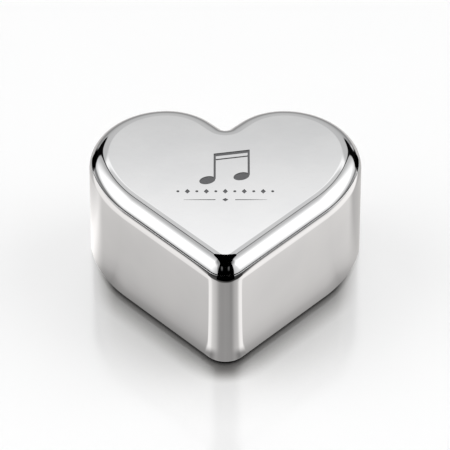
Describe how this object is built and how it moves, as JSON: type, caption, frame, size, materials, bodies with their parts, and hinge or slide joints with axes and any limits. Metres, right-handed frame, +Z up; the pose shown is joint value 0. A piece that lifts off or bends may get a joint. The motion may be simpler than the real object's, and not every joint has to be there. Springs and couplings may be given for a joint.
{
  "type": "wind up music box",
  "caption": "Heart-shaped plated metal music box with a hinged lid, velvet lining, a clockwork movement under a clear window and a winding key under the base.",
  "frame": {"origin": "on the table, at the centre of the closed box's bounding box seen from above, hinges included", "axes": "+Z up, -Y towards the tip of the heart, +X to the right when the tip faces the viewer"},
  "size_m": [0.09, 0.0859, 0.042],
  "materials": {
    "plated_shell": "polished silver-coloured plating over die-cast zinc",
    "hinge_plating": "polished plating over steel",
    "key_plating": "bright nickel plating over steel",
    "steel": "turned and polished steel",
    "screw_steel": "nickelled steel screws",
    "spring_steel": "tempered spring steel, faintly blue",
    "comb_steel": "ground hardened steel",
    "plate_steel": "satin zinc-plated sheet steel",
    "brass": "lightly brushed brass",
    "cylinder_brass": "polished turned brass with steel-coloured pins",
    "zinc": "as-cast zinc alloy",
    "fly_plastic": "moulded black nylon",
    "white_plastic": "moulded acetal",
    "clear_acrylic": "clear cast acrylic",
    "velvet": "black cotton velvet, short dense pile",
    "felt": "pressed black wool felt"
  },
  "bodies": {
    "casing": {"body_shell": "plated_shell", "hinge_body_leaves": "hinge_plating", "hinge_pins": "steel", "bottom_plate": "plate_steel", "bottom_plate_screws": "screw_steel", "base_felt": "felt", "velvet_lining": "velvet", "movement_window": "clear_acrylic", "bedplate": "brass", "movement_screws": "screw_steel", "barrel_bridge": "brass", "bridge_pillars": "brass", "bridge_screws": "screw_steel", "clutch_spring": "spring_steel", "comb": "comb_steel", "comb_base": "zinc", "comb_screws": "screw_steel", "governor_frame": "zinc", "governor_screws": "screw_steel", "stop_bush": "white_plastic", "stop_spring": "spring_steel"},
    "lid": {"lid_shell": "plated_shell", "lid_pad": "velvet", "hinge_lid_leaves": "hinge_plating"},
    "winding": {"winding_arbor": "steel", "winding_key": "key_plating"},
    "barrel": {"barrel_drum": "brass", "barrel_cap": "brass", "mainspring": "spring_steel"},
    "cylinder": {"music_cylinder": "cylinder_brass", "cylinder_shaft": "steel", "cylinder_pinion": "steel", "cylinder_gear": "brass"},
    "wheel_1": {"governor_wheel_1": "brass"},
    "wheel_2": {"governor_wheel_2": "brass"},
    "fly": {"governor_worm": "steel", "fly": "fly_plastic"},
    "plunger": {"stop_plunger": "steel"}
  },
  "joints": [
    {"name": "lid_hinge", "type": "hinge", "parent": "casing", "child": "lid", "pos_m": [0, 0.04173, 0.0354], "axis": [-1, 0, 0], "range_deg": [0, 95]},
    {"name": "key_turn", "type": "hinge", "parent": "casing", "child": "winding", "pos_m": [-0.0135, 0.0035, 0.005], "axis": [0, 0, -1], "continuous": true},
    {"name": "barrel_turn", "type": "hinge", "parent": "casing", "child": "barrel", "pos_m": [-0.0135, 0.0035, 0.016], "axis": [0, 0, 1], "continuous": true},
    {"name": "cylinder_turn", "type": "hinge", "parent": "casing", "child": "cylinder", "pos_m": [0.01, 0.0035, 0.0236], "axis": [1, 0, 0], "continuous": true},
    {"name": "wheel_1_turn", "type": "hinge", "parent": "casing", "child": "wheel_1", "pos_m": [0.022, 0.0111, 0.02011], "axis": [1, 0, 0], "continuous": true},
    {"name": "wheel_2_turn", "type": "hinge", "parent": "casing", "child": "wheel_2", "pos_m": [0.022, 0.0174, 0.01868], "axis": [1, 0, 0], "continuous": true},
    {"name": "fly_turn", "type": "hinge", "parent": "casing", "child": "fly", "pos_m": [0.0203, 0.0224, 0.0264], "axis": [0, 0, 1], "continuous": true},
    {"name": "stop_rise", "type": "slide", "parent": "casing", "child": "plunger", "axis": [0, 0, 1], "range_m": [0, 0.0012], "deforming": ["stop_spring"]}
  ],
  "couplings": [
    {"joint": "cylinder_turn", "follows": "barrel_turn", "ratio": 4},
    {"joint": "wheel_1_turn", "follows": "barrel_turn", "ratio": -18},
    {"joint": "wheel_2_turn", "follows": "barrel_turn", "ratio": 67.5},
    {"joint": "fly_turn", "follows": "barrel_turn", "ratio": -1350},
    {"joint": "stop_rise", "follows": "lid_hinge", "m_per_rad": 0.0007237}
  ]
}
